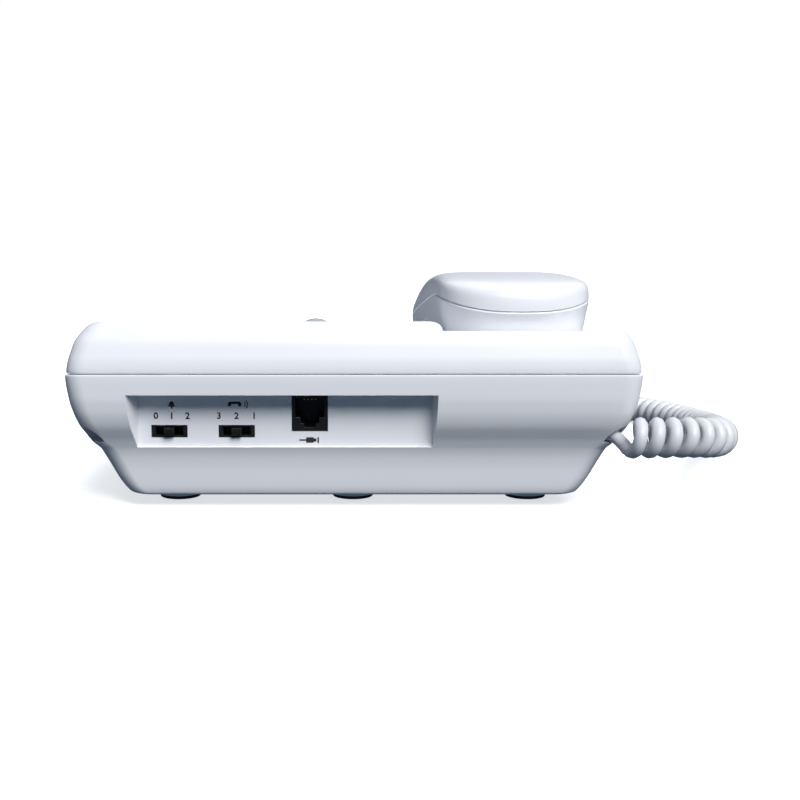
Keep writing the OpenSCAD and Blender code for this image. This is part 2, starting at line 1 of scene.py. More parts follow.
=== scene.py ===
"""Visual model of a corded desk telephone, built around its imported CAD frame.

Every length is in metres, in the frame's own axes: +Z up, +Y out of the rear face, -X the handset's side.
"""
import json
import math

import bmesh
import bpy
from mathutils import Matrix, Vector

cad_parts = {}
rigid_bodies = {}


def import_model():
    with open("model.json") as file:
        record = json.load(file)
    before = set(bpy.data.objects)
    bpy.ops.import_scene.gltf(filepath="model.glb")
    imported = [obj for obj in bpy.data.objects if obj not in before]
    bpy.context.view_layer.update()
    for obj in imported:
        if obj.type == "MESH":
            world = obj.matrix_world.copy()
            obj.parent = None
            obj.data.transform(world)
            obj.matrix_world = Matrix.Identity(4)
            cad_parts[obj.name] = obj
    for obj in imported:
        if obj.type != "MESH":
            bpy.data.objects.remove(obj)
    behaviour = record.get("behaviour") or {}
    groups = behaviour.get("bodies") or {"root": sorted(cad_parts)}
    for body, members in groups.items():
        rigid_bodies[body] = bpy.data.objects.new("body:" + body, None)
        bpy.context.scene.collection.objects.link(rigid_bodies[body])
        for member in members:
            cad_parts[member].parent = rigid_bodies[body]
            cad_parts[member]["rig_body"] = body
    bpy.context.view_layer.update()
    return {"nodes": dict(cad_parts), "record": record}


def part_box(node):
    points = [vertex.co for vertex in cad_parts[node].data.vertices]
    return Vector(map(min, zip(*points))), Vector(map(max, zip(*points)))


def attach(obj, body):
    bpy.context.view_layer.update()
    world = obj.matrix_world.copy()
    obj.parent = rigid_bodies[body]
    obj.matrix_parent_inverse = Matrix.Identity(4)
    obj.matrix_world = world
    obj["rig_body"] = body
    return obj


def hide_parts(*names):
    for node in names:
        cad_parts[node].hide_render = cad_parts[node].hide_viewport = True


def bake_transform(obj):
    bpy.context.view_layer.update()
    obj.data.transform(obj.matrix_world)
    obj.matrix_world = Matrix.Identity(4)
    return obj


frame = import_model()
MM = 0.001
scene = bpy.context.scene

# ---------------------------------------------------------------- camera
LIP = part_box("bottom_housing")
REAR_Y = LIP[1].y
CAMERA_AWAY = 0.365
CAMERA_HEIGHT = 0.0911
CAMERA_SIDE = 0.0047
CAMERA_PITCH = math.radians(8.0)
FOCAL_PX = 1108
FRAME_PX = 800


def make_camera():
    data = bpy.data.cameras.new("camera")
    data.sensor_width = 36.0
    data.lens = FOCAL_PX / FRAME_PX * data.sensor_width
    data.shift_x = 0.075
    data.clip_start = 0.01
    camera = bpy.data.objects.new("camera", data)
    camera.location = (CAMERA_SIDE, REAR_Y + CAMERA_AWAY, CAMERA_HEIGHT)
    camera.rotation_euler = (math.pi / 2 - CAMERA_PITCH, 0.0, math.pi)
    scene.collection.objects.link(camera)
    scene.camera = camera


make_camera()

# ---------------------------------------------------------------- curly cord
COIL_OD = 14.0 * MM
CORD_D = 4.6 * MM
# The route of the cord, the same points as in the CAD source, in millimetres.
COIL_ROUTE = [
    (-92.3, 102.7, 27), (-103, 102, 27), (-114, 99, 26.6), (-123.5, 92, 25.3), (-129, 81, 24),
    (-133.5, 66, 22), (-139, 48, 19.5), (-146, 28, 16.5), (-153.5, 6, 13), (-160, -16, 10),
    (-164, -38, 8), (-163, -60, 7), (-157, -80, 7), (-148, -97, 7), (-135, -112, 7),
    (-118, -123, 7), (-99, -129, 8), (-82, -131, 11), (-70, -129, 18), (-63, -125, 26),
]
BASE_TAIL = [(-80, 85, 26.6), (-84.5, 89.5, 26.8), (-88.6, 94, 26.5)]
HANDSET_TAIL = [(-66, -116, 34), (-59.5, -109, 39), (-57.2, -100, 40.5)]
LEAD_IN = 2.5 * MM
LEAD_OUT = 5.0 * MM
START_ANGLE = math.radians(-120)
LAST_STEPS = 11
COIL_PITCH = 5.75 * MM
STEPS_PER_TURN = 18
CORD_SIDES = 10


def catmull(points, per_span):
    """Points along a smooth curve through the given ones."""
    ends = [points[0] * 2 - points[1]] + points + [points[-1] * 2 - points[-2]]
    out = []
    for i in range(1, len(ends) - 2):
        a, b, c, d = ends[i - 1:i + 3]
        for k in range(per_span):
            t = k / per_span
            out.append(0.5 * (2 * b + (c - a) * t + (2 * a - 5 * b + 4 * c - d) * t * t
                              + (3 * b - a - 3 * c + d) * t ** 3))
    out.append(points[-1].copy())
    return out


def even_steps(points, count):
    """The same line as count + 1 points spaced evenly along it."""
    lengths = [0.0]
    for a, b in zip(points, points[1:]):
        lengths.append(lengths[-1] + (b - a).length)
    out, j = [], 0
    for i in range(count + 1):
        s = lengths[-1] * i / count
        while j < len(points) - 2 and lengths[j + 1] < s:
            j += 1
        span = max(lengths[j + 1] - lengths[j], 1e-12)
        out.append(points[j].lerp(points[j + 1], (s - lengths[j]) / span))
    return out, lengths[-1]


def carried_frames(points):
    """A tangent and two cross directions at each point, carried along without twisting."""
    frames, side = [], None
    for i, p in enumerate(points):
        tangent = (points[min(i + 1, len(points) - 1)] - points[max(i - 1, 0)]).normalized()
        if side is None:
            side = tangent.cross(Vector((0, 0, 1))).normalized()
        side = (side - tangent * side.dot(tangent)).normalized()
        frames.append((tangent, side, side.cross(tangent)))
    return frames


def tube_mesh(name, centres, radius, sides):
    """A closed tube with one ring of vertices round each centre."""
    frames = carried_frames(centres)
    vertices, faces = [], []
    for c, (t, s, u) in zip(centres, frames):
        for k in range(sides):
            a = 2 * math.pi * k / sides
            vertices.append(c + radius * (math.cos(a) * s + math.sin(a) * u))
    for i in range(len(centres) - 1):
        for k in range(sides):
            a, b = i * sides + k, i * sides + (k + 1) % sides
            faces.append((a, a + sides, b + sides, b))
    faces.append(tuple(range(sides)))
    last = (len(centres) - 1) * sides
    faces.append(tuple(last + k for k in reversed(range(sides))))
    mesh = bpy.data.meshes.new(name)
    mesh.from_pydata(vertices, [], faces)
    mesh.update()
    for polygon in mesh.polygons:
        polygon.use_smooth = len(polygon.vertices) == 4
    piece = bpy.data.objects.new(name, mesh)
    scene.collection.objects.link(piece)
    return piece


def make_curly_cord():
    helix_r = (COIL_OD - CORD_D) / 2
    route = catmull([Vector(p) * MM for p in COIL_ROUTE], 12)
    _, route_length = even_steps(route, 10)
    turns = round(route_length / COIL_PITCH)
    centre, _ = even_steps(route, turns * STEPS_PER_TURN + LAST_STEPS)
    coil = []
    for i, (c, (t, s, u)) in enumerate(zip(centre, carried_frames(centre))):
        a = 2 * math.pi * i / STEPS_PER_TURN + START_ANGLE
        coil.append(c + helix_r * (math.cos(a) * s + math.sin(a) * u))
    # Both tails run on from the coil along its own last direction.
    tail_in = [Vector(p) * MM for p in BASE_TAIL]
    tail_out = [Vector(p) * MM for p in HANDSET_TAIL]
    entry = coil[0] + (coil[0] - coil[1]).normalized() * LEAD_IN
    leave = coil[-1] + (coil[-1] - coil[-2]).normalized() * LEAD_OUT
    lead_in = catmull(tail_in + [entry, coil[0], coil[5]], 6)[:6 * (len(tail_in) + 1)]
    lead_out = catmull([coil[-6], coil[-1], leave] + tail_out, 6)[7:]
    path = lead_in + coil + lead_out
    piece = tube_mesh("curly_cord", path, CORD_D / 2, CORD_SIDES)
    length = sum((b - a).length for a, b in zip(path, path[1:]))
    return piece, path, length


cord_piece, cord_path, cord_length = make_curly_cord()
print("cord length", cord_length)

# ---------------------------------------------------------------- materials
def new_material(name, color, roughness, metallic=0.0):
    material = bpy.data.materials.new(name)
    material.use_nodes = True
    shader = material.node_tree.nodes["Principled BSDF"]
    shader.inputs["Base Color"].default_value = (*color, 1.0)
    shader.inputs["Roughness"].default_value = roughness
    shader.inputs["Metallic"].default_value = metallic
    return material, material.node_tree, shader


def noise(tree, scale, detail, source):
    node = tree.nodes.new("ShaderNodeTexNoise")
    node.inputs["Scale"].default_value = scale
    node.inputs["Detail"].default_value = detail
    tree.links.new(source, node.inputs["Vector"])
    return node.outputs["Fac"]


def spread(tree, value, low, high):
    """A noise value remapped from its usual span to low..high."""
    node = tree.nodes.new("ShaderNodeMapRange")
    node.interpolation_type = "SMOOTHSTEP"
    node.inputs["From Min"].default_value = 0.25
    node.inputs["From Max"].default_value = 0.75
    node.inputs["To Min"].default_value = low
    node.inputs["To Max"].default_value = high
    tree.links.new(value, node.inputs["Value"])
    return node.outputs["Result"]


CLOUD_SCALE = 35.0
DRIFT_SCALE = 21.0
GRAIN_HEIGHT = 0.0002


def moulded(name, color, shade, roughness, grain_scale=2600.0, grain=0.05, metallic=0.0):
    """A surface with fine grain in its bump, cloudy roughness and a slight drift of tone."""
    material, tree, shader = new_material(name, color, roughness[0], metallic)
    place = tree.nodes.new("ShaderNodeTexCoord").outputs["Object"]
    clouds = noise(tree, CLOUD_SCALE, 3.0, place)
    tree.links.new(spread(tree, clouds, *roughness), shader.inputs["Roughness"])
    tone = tree.nodes.new("ShaderNodeMix")
    tone.data_type = "RGBA"
    color_a, color_b = [s for s in tone.inputs if s.type == "RGBA"]
    color_a.default_value = (*color, 1.0)
    color_b.default_value = (*shade, 1.0)
    drift = noise(tree, DRIFT_SCALE, 2.0, place)
    tree.links.new(spread(tree, drift, 0.0, 1.0), tone.inputs["Factor"])
    tree.links.new([s for s in tone.outputs if s.type == "RGBA"][0], shader.inputs["Base Color"])
    bump = tree.nodes.new("ShaderNodeBump")
    bump.inputs["Strength"].default_value = grain
    bump.inputs["Distance"].default_value = GRAIN_HEIGHT
    tree.links.new(noise(tree, grain_scale, 2.0, place), bump.inputs["Height"])
    tree.links.new(bump.outputs["Normal"], shader.inputs["Normal"])
    return material


# Each finish as its colour, the shade it drifts to, its span of roughness and its grain.
FINISHES = {
    "housing_white": dict(color=(0.86, 0.87, 0.91), shade=(0.84, 0.85, 0.89), roughness=(0.36, 0.44)),
    "handset_white": dict(color=(0.87, 0.88, 0.92), shade=(0.85, 0.86, 0.90), roughness=(0.29, 0.35),
                          grain=0.03),
    "key_white": dict(color=(0.80, 0.81, 0.84), shade=(0.78, 0.79, 0.82), roughness=(0.38, 0.48)),
    "cord_white": dict(color=(0.74, 0.75, 0.78), shade=(0.71, 0.72, 0.75), roughness=(0.30, 0.40),
                       grain_scale=900.0),
    "foot_rubber": dict(color=(0.012, 0.012, 0.013), shade=(0.02, 0.02, 0.021), roughness=(0.6, 0.8),
                        grain_scale=1500.0, grain=0.25),
    "black_plastic": dict(color=(0.006, 0.006, 0.007), shade=(0.012, 0.012, 0.013),
                          roughness=(0.28, 0.4), grain_scale=1800.0),
    "keypad_rubber": dict(color=(0.42, 0.43, 0.45), shade=(0.38, 0.39, 0.41), roughness=(0.6, 0.75),
                          grain_scale=1200.0),
    "jack_white": dict(color=(0.7, 0.7, 0.72), shade=(0.66, 0.66, 0.68), roughness=(0.35, 0.5)),
    "plated_steel": dict(color=(0.55, 0.56, 0.58), shade=(0.45, 0.46, 0.48), roughness=(0.29, 0.42),
                         grain_scale=700.0, metallic=1.0),
    "contact_gold": dict(color=(0.80, 0.58, 0.22), shade=(0.72, 0.5, 0.18), roughness=(0.15, 0.26),
                         grain_scale=900.0, metallic=1.0),
    "circuit_board": dict(color=(0.02, 0.16, 0.06), shade=(0.015, 0.11, 0.04), roughness=(0.29, 0.4),
                          grain_scale=500.0, grain=0.15),
    "wire_insulation": dict(color=(0.45, 0.03, 0.02), shade=(0.38, 0.025, 0.02), roughness=(0.35, 0.5)),
    "lens_grey": dict(color=(0.36, 0.38, 0.42), shade=(0.32, 0.34, 0.38), roughness=(0.08, 0.14),
                      grain_scale=300.0, grain=0.02),
    "plug_clear": dict(color=(0.86, 0.89, 0.92), shade=(0.82, 0.86, 0.9), roughness=(0.05, 0.12)),
}
SLOT_MATERIALS = {slot: moulded(slot, **finish) for slot, finish in FINISHES.items()}
plug_shader = SLOT_MATERIALS["plug_clear"].node_tree.nodes["Principled BSDF"]
plug_shader.inputs["Transmission Weight"].default_value = 0.75
plug_shader.inputs["IOR"].default_value = 1.57
printed_ink = moulded("printed_ink", (0.02, 0.02, 0.025), (0.03, 0.03, 0.035), (0.5, 0.65))

SLOTS = {part["node"]: part["material_slot"] for part in frame["record"]["subparts"]}
for node_name, slot_name in SLOTS.items():
    node_mesh = frame["nodes"][node_name].data
    node_mesh.materials.clear()
    node_mesh.materials.append(SLOT_MATERIALS[slot_name])

# ---------------------------------------------------------------- base shape, in millimetres
HALF_W = LIP[1].x / MM
HALF_D = REAR_Y / MM
DECK_H = 66.5
FRONT_SHARE = 0.62
JOINT_H = 48.2
PLINTH_H = 4.5
WALL = 2.5
CORNER_R = 7.0
CRADLE_DROP = 3.5
STEP_X = -29.6
HANDSET_X = -57.2
HANDSET_L = 188.0
HANDSET_W = 53.5
HANDSET_CROWN = 27.0
HANDSET_END_H = 15.6
HANDSET_JOINT_END = 6.2
HANDSET_JOINT_RISE = 9.3
CUP_DEPTH = 9.0
POCKET_MARGIN = 1.4
POCKET_DROP = CUP_DEPTH + 0.6
SLOPE = math.atan((DECK_H - PLINTH_H) * (1 - FRONT_SHARE) / (2 * HALF_D))

# Profiles as (inset from the lip, height at the rear, rear inset).
LOWER_PROFILE = [
    (23.0, PLINTH_H, 15.4), (21.0, PLINTH_H + 0.15, 13.4), (19.4, 5.2, 11.9), (18.3, 6.2, 11.3),
    (17.0, 8.0, 10.8), (15.0, 11.2, 10.3), (13.0, 15.2, 9.7), (11.0, 19.2, 8.8), (9.6, 21.8, 7.9),
    (8.2, 23.1, 7.3), (6.2, 25.4, 6.1), (5.1, 27.6, 4.7), (3.9, 30.0, 3.2), (2.9, 32.5, 2.1),
    (2.1, 35.0, 1.3), (1.4, 37.5, 0.8), (0.9, 40.0, 0.4), (0.2, 44.5, 0.1), (0.0, 47.6, 0.0),
    (0.3, 48.0, 0.3), (0.8, JOINT_H, 0.8),
]
LOWER_CAVITY = [
    (21, PLINTH_H + WALL, 13.6), (17, 13, 12.4), (13, 22, 10.4), (9, 26, 8.4), (6.5, 31, 5.2),
    (4.5, 36, 3.4), (3, 42, WALL), (WALL, JOINT_H + 2, WALL),
]
# The upper housing ends in a tongue inside the lower one, which closes the joint to light.
UPPER_PROFILE = [(a, z, a) for a, z in (
    (1.0, JOINT_H + 0.2), (0.6, JOINT_H + 0.3), (0.4, JOINT_H + 0.8), (0.5, 50.6), (0.9, 53.0),
    (1.6, 55.5), (2.9, 59.6), (4.7, 62.6), (5.8, 64.1), (7.0, 65.4), (8.6, 66.25), (10.2, DECK_H),
)]
TONGUE = [(3.0, JOINT_H - 1.5, 3.0), (3.0, JOINT_H + 0.2, 3.0)]
UPPER_CAVITY = [(a, z, a) for a, z in (
    (3.9, JOINT_H - 3), (3.9, JOINT_H + 1), (3.5, 53), (4.6, 57.5), (6.2, 61), (9.3, DECK_H - WALL),
)]


def wedge_z(y, z):
    """Heights shrink linearly from the rear lip to the front lip."""
    return PLINTH_H + (z - PLINTH_H) * (1 - (1 - FRONT_SHARE) * (HALF_D - y) / (2 * HALF_D))


def deck_frame(x, y, drop=0.0):
    """The frame at a place on the deck, its own Z along the deck's normal."""
    return (Matrix.Translation((x, y, wedge_z(y, DECK_H))) @ Matrix.Rotation(SLOPE, 4, "X")
            @ Matrix.Translation((0, 0, -drop)))


HANDSET_FRAME = deck_frame(HANDSET_X, 0, CRADLE_DROP)


# ---------------------------------------------------------------- mesh tools, in millimetres
def piece_from(name, vertices, faces, matrix=None):
    """A mesh object from vertices in the base's frame, or in the frame of matrix."""
    mesh = bpy.data.meshes.new(name)
    place = Matrix.Scale(MM, 4) @ (matrix or Matrix.Identity(4))
    mesh.from_pydata([place @ Vector(v) for v in vertices], [], faces)
    mesh.update()
    piece = bpy.data.objects.new(name, mesh)
    scene.collection.objects.link(piece)
    return piece


def stack(name, rings, matrix=None):
    """A closed solid through rings of equally many points, lowest first, counterclockwise from above."""
    n, m = len(rings[0]), len(rings)
    vertices = [p for ring in rings for p in ring]
    faces = []
    for j in range(m - 1):
        for i in range(n):
            a, b = j * n + i, j * n + (i + 1) % n
            faces.append((a, b, b + n, a + n))
    faces.append(tuple(reversed(range(n))))
    faces.append(tuple((m - 1) * n + i for i in range(n)))
    return piece_from(name, vertices, faces, matrix)


def rounded_rectangle(half_x, half_y, radius, steps=8):
    """A counterclockwise outline with round corners."""
    out = []
    for q, (sx, sy) in enumerate([(1, 1), (-1, 1), (-1, -1), (1, -1)]):
        for k in range(steps + 1):
            a = math.radians(90 * (q + k / steps))
            out.append((sx * (half_x - radius) + radius * math.cos(a),
                        sy * (half_y - radius) + radius * math.sin(a)))
    return out


def circle(radius, sides=48, centre=(0, 0)):
    return [(centre[0] + radius * math.cos(2 * math.pi * k / sides),
             centre[1] + radius * math.sin(2 * math.pi * k / sides)) for k in range(sides)]


def smooth_profile(points, per_span=4):
    """The same profile with extra points, rounded through the given ones."""
    flat = len(points[0]) == 2
    curve = catmull([Vector((*p, 0) if flat else p) for p in points], per_span)
    return [(p.x, p.y) if flat else tuple(p) for p in curve]


def prism(name, outline, low, high, matrix=None):
    """An outline extruded along Z from low to high."""
    return stack(name, [[(x, y, low) for x, y in outline], [(x, y, high) for x, y in outline]], matrix)


def block(name, low, high, matrix=None):
    (x0, y0, z0), (x1, y1, z1) = low, high
    return prism(name, [(x0, y0), (x1, y0), (x1, y1), (x0, y1)], z0, z1, matrix)


def flared_hole(name, outline_at, depth, flare, matrix, top=20.0, steps=5):
    """A cutter whose mouth at Z = 0 flares by a quarter round; outline_at(grow) gives its outline."""
    rings = [[(x, y, -depth) for x, y in outline_at(0.0)]]
    for k in range(steps + 1):
        a = math.radians(80 * k / steps)
        z, grow = -flare * (1 - math.sin(a)), flare * (1 - math.cos(a))
        rings.append([(x, y, z) for x, y in outline_at(grow)])
    rings.append([(x, y, top) for x, y in outline_at(flare)])
    return stack(name, rings, matrix)


def discard(piece):
    mesh = piece.data
    bpy.data.objects.remove(piece)
    bpy.data.meshes.remove(mesh)


def apply_all(piece):
    """The piece's modifiers become part of its mesh."""
    depsgraph = bpy.context.evaluated_depsgraph_get()
    mesh = bpy.data.meshes.new_from_object(piece.evaluated_get(depsgraph), depsgraph=depsgraph)
    piece.modifiers.clear()
    old = piece.data
    piece.data = mesh
    bpy.data.meshes.remove(old)


def combine(piece, others, operation):
    """Boolean of the piece with each of the others, which are used up."""
    for other in others:
        modifier = piece.modifiers.new("cut", "BOOLEAN")
        modifier.operation = operation
        modifier.solver = "EXACT"
        modifier.object = other
        apply_all(piece)
        discard(other)
    return piece


def cut(piece, *others):
    return combine(piece, others, "DIFFERENCE")


def add(piece, *others):
    return combine(piece, others, "UNION")


def joined(name, pieces):
    """Several separate solids as one object."""
    bm = bmesh.new()
    for piece in pieces:
        bm.from_mesh(piece.data)
        discard(piece)
    mesh = bpy.data.meshes.new(name)
    bm.to_mesh(mesh)
    bm.free()
    piece = bpy.data.objects.new(name, mesh)
    scene.collection.objects.link(piece)
    return piece


def tidy(piece, flat_angle=0.0):
    """Merges doubles, and flat neighbours if an angle is given."""
    bm = bmesh.new()
    bm.from_mesh(piece.data)
    bmesh.ops.remove_doubles(bm, verts=bm.verts, dist=1e-6)
    bmesh.ops.dissolve_degenerate(bm, edges=bm.edges, dist=1e-6)
    if flat_angle:
        bmesh.ops.dissolve_limit(bm, angle_limit=math.radians(flat_angle), verts=bm.verts, edges=bm.edges)
    bm.to_mesh(piece.data)
    bm.free()


def soften(piece, width=0.0, angle=32.0, segments=2):
    """Rounds the sharp edges by a width in millimetres, and shades everything else smooth."""
    if width:
        bevel = piece.modifiers.new("edges", "BEVEL")
        bevel.width = width * MM
        bevel.segments = segments
        bevel.limit_method = "ANGLE"
        bevel.angle_limit = math.radians(angle)
        bevel.use_clamp_overlap = True
        apply_all(piece)
    for polygon in piece.data.polygons:
        polygon.use_smooth = True
    piece.data.set_sharp_from_angle(angle=math.radians(angle))
    weighted = piece.modifiers.new("normals", "WEIGHTED_NORMAL")
    weighted.keep_sharp = True
    apply_all(piece)
    return piece


def dress(piece, body, slot_name, *nodes, material=None):
    """The piece rides on a body, takes the slot's finish and may stand for CAD nodes."""
    piece.data.materials.clear()
    piece.data.materials.append(material or SLOT_MATERIALS[slot_name])
    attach(piece, body)
    if nodes:
        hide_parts(*nodes)
    return piece


def refined(node, width, segments=3, angle=32.0):
    """A finished copy of a CAD node: same shape, rounded edges, smooth shading."""
    source = frame["nodes"][node]
    piece = bpy.data.objects.new(node + "_finished", source.data.copy())
    scene.collection.objects.link(piece)
    tidy(piece, flat_angle=1.0)
    soften(piece, width, angle, segments)
    return dress(piece, source["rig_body"], SLOTS[node], node)

# ---------------------------------------------------------------- places on the base
RECESS_Y = HALF_D - 8.5
RECESS_X = (-26.9, 73.6)
RECESS_OUTER_X = (-28.3, 76.6)
RECESS_Z = (22.4, 41.3)
RINGER_X, VOLUME_X, LINE_X = 63.0, 40.0, 15.0
SWITCH_Z = 27.8
SWITCH_W = 12.4
SWITCH_WINDOW_H = 4.4
JACK_FACE = (12.2, 13.2)
FOOT_R = 8.4
FOOT_BOSS_Z = 1.3
PAD_R = 7.4
PAD_SEAT_H = 2.4
FOOT_PLACES = [(63, 69.8), (0, 69.8), (-63, 69.8), (63, -68), (-63, -68)]
CASE_SCREWS = [(71, 60), (-20, 60), (71, -76), (-20, -76)]
CASE_POST_R = 4.8
CASE_POST_H = 17.0
PILLAR_R = 3.4
SCREW_WELL_R = 3.4
SCREW_WELL_H = 11.0
SPEAKER_AT = (57, -32)
SPEAKER_SLOT_L = 24.0
SPEAKER_SLOT_PITCH = 5.0
NOTCH_AT = (HALF_W - 9.5, HALF_D - 9.5, 25.6)
NOTCH_R = 4.3
NOTCH_SILL = 1.4
NOTCH_DEPTH = 11.5
BLIND_NOTCH_DEPTH = 5.0
NOTCH_LUMP_W = 17.0
SOCKET_STOCK = 14.0
SMALL_FACE = 12.1
COLUMN_X = (4, 34, 64)
ROW_Y = (32, 8, -16, -40)
FUNCTION_Y = -63.5
KEY_SIZE = (24, 18)
FUNCTION_SIZE = (20, 11)
KEY_H = 2.3
KEY_GAP = 0.4
LENS_AT = (13, 84)
LENS_HOLE_R = 3.5
HOOK_U = 62
HOOK_SLOT = (10.8, 8.8)
SCOOP_R = 66.0
SCOOP_V = 58.0
SCOOP_FROM_X = -60.0
SCOOP_L = 86.0
UPRIGHT = Matrix.Rotation(math.pi / 2, 4, "X")


def notch_frame(side):
    """Frame of a rear corner's notch: its own +Y points out of the corner along the diagonal."""
    place = Matrix.Translation((side * NOTCH_AT[0], NOTCH_AT[1], NOTCH_AT[2]))
    return place @ Matrix.Rotation(math.radians(-45 * side), 4, "Z")


def base_solid(name, profile, steps=10):
    """The base's outline through a profile; the rear has insets of its own."""
    rings = []
    for a, z, rear in profile:
        shift = (a - rear) / 2
        outline = rounded_rectangle(HALF_W - a, HALF_D - (a + rear) / 2, CORNER_R, steps)
        rings.append([(x, y + shift, wedge_z(y + shift, z)) for x, y in outline])
    return stack(name, rings)


# ---------------------------------------------------------------- lower housing
def make_bottom_housing():
    shell = base_solid("bottom_shell", smooth_profile(LOWER_PROFILE, 3))
    cavity = base_solid("bottom_cavity", LOWER_CAVITY, 4)
    cut(cavity, block("recess_wall", (RECESS_OUTER_X[0] - WALL, RECESS_Y - WALL, 0),
                      (RECESS_OUTER_X[1] + WALL, RECESS_Y + 20, 46)))
    lump = NOTCH_LUMP_W / 2
    for side, depth in ((-1, NOTCH_DEPTH + SOCKET_STOCK), (1, NOTCH_DEPTH + WALL)):
        cut(cavity, block("notch_lump", (-lump, -depth, -lump), (lump, 12, lump), notch_frame(side)))
    posts = [prism("post", circle(CASE_POST_R, 32, p), 0, PLINTH_H + CASE_POST_H) for p in CASE_SCREWS]
    cut(cavity, joined("posts", posts))
    cut(shell, cavity)
    bosses = [stack("boss", [
        [(x, y, z) for x, y in circle(r, 64, p)]
        for r, z in ((FOOT_R - 0.6, FOOT_BOSS_Z), (FOOT_R - 0.25, FOOT_BOSS_Z + 0.1),
                     (FOOT_R, FOOT_BOSS_Z + 0.45), (FOOT_R, PLINTH_H + 1))
    ]) for p in FOOT_PLACES]
    add(shell, joined("bosses", bosses))
    pocket = [(RECESS_OUTER_X[0], HALF_D + 1), (RECESS_X[0], RECESS_Y), (RECESS_X[1], RECESS_Y),
              (RECESS_OUTER_X[1], HALF_D + 1)]
    cut(shell, prism("recess", pocket, *RECESS_Z))
    half_w, half_h = SWITCH_W / 2, SWITCH_WINDOW_H / 2
    openings = []
    for x in (RINGER_X, VOLUME_X):
        openings.append(block("window", (x - half_w, RECESS_Y - 5, SWITCH_Z - half_h),
                              (x + half_w, RECESS_Y + 1, SWITCH_Z + half_h)))
    half_jack = JACK_FACE[0] / 2 + 0.1
    openings.append(block("line_window", (LINE_X - half_jack, RECESS_Y - 5, SWITCH_Z - 0.1),
                          (LINE_X + half_jack, RECESS_Y + 1, SWITCH_Z + JACK_FACE[1] + 0.1)))
    cut(shell, joined("openings", openings))
    under = [prism("pad_seat", circle(PAD_R + 0.05, 64, p), -1, PAD_SEAT_H) for p in FOOT_PLACES]
    slot = rounded_rectangle(1, SPEAKER_SLOT_L / 2, 0.95)
    for i in range(-3, 4):
        place = Matrix.Translation((SPEAKER_AT[0] + i * SPEAKER_SLOT_PITCH, SPEAKER_AT[1], 0))
        under.append(prism("slot", slot, PLINTH_H - 1, PLINTH_H + 5, place))
    under += [prism("screw_well", circle(SCREW_WELL_R, 32, p), PLINTH_H - 1, PLINTH_H + SCREW_WELL_H)
              for p in CASE_SCREWS]
    cut(shell, joined("under", under))
    # The arch's outline points down: its flat side is the sill.
    sill_angle = math.asin(NOTCH_SILL / NOTCH_R)
    turns = [math.pi - sill_angle + (math.pi + 2 * sill_angle) * k / 36 for k in range(37)]
    arch_outline = [(NOTCH_R * math.cos(a), NOTCH_R * math.sin(a)) for a in turns]
    for side, depth in ((-1, NOTCH_DEPTH), (1, BLIND_NOTCH_DEPTH)):
        turned = notch_frame(side) @ Matrix.Rotation(-math.pi / 2, 4, "X")
        cut(shell, prism("arch", arch_outline, -depth, 30, turned))
    seat = SMALL_FACE / 2
    cut(shell, block("socket_seat", (-seat, -NOTCH_DEPTH - 20, -seat), (seat, -NOTCH_DEPTH, seat),
                     notch_frame(-1)))
    tidy(shell)
    soften(shell, 0.25, 40.0)
    return dress(shell, "root", "housing_white", "bottom_housing")


# ---------------------------------------------------------------- handset outline
def handset_half(inset, end_steps=14, side_steps=24):
    """The +X half of the handset's outline from its -Y tip to its +Y tip."""
    fullness = 0.78
    r = HANDSET_W / 2 - inset
    straight = (HANDSET_L - HANDSET_W) / 2
    steps = [math.radians(90 * k / end_steps) for k in range(end_steps + 1)]
    near = [(r * math.sin(a) ** fullness, -straight - r * abs(math.cos(a)) ** fullness) for a in steps]
    side = [(r, straight * (2 * k / side_steps - 1)) for k in range(1, side_steps)]
    far = [(r * abs(math.cos(a)) ** fullness, straight + r * math.sin(a) ** fullness) for a in steps]
    half = near + side + far
    half[0], half[-1] = (0.0, half[0][1]), (0.0, half[-1][1])
    return half


def handset_outline(inset):
    half = handset_half(inset)
    return half + [(-x, y) for x, y in reversed(half[1:-1])]


def handset_stack(name, rings, matrix):
    """A closed solid through handset rings, capped across its width so that its ends may be arched."""
    n, m = len(rings[0]), len(rings)
    h = n // 2
    vertices = [p for ring in rings for p in ring]
    faces = []
    for j in range(m - 1):
        for i in range(n):
            a, b = j * n + i, j * n + (i + 1) % n
            faces.append((a, b, b + n, a + n))
    for o, flip in ((0, True), ((m - 1) * n, False)):
        for i in range(h):
            quad = [o + i, o + i + 1, o + n - i - 1, o + (n - i) % n]
            if i == 0:
                quad.pop()
            elif i == h - 1:
                quad.pop(2)
            faces.append(tuple(reversed(quad)) if flip else tuple(quad))
    return piece_from(name, vertices, faces, matrix)


# ---------------------------------------------------------------- upper housing
def step_outline():
    """Section of the cradle deck's cutter: a soft shoulder up to the keypad deck, a small fillet below."""
    shoulder_x, shoulder_z, fillet = 4.2, 2.83, 0.45
    out = [(-95.0, 0.0), (STEP_X - fillet, 0.0)]
    for k in range(1, 5):
        a = math.radians(90 * k / 4)
        out.append((STEP_X - fillet + fillet * math.sin(a), fillet * (1 - math.cos(a))))
    for k in range(1, 11):
        a = math.radians(82 * k / 10)
        out.append((STEP_X + shoulder_x * (1 - math.cos(a)), 0.5 + shoulder_z * math.sin(a)))
    return out + [(out[-1][0], 30.0), (-95.0, 30.0)]


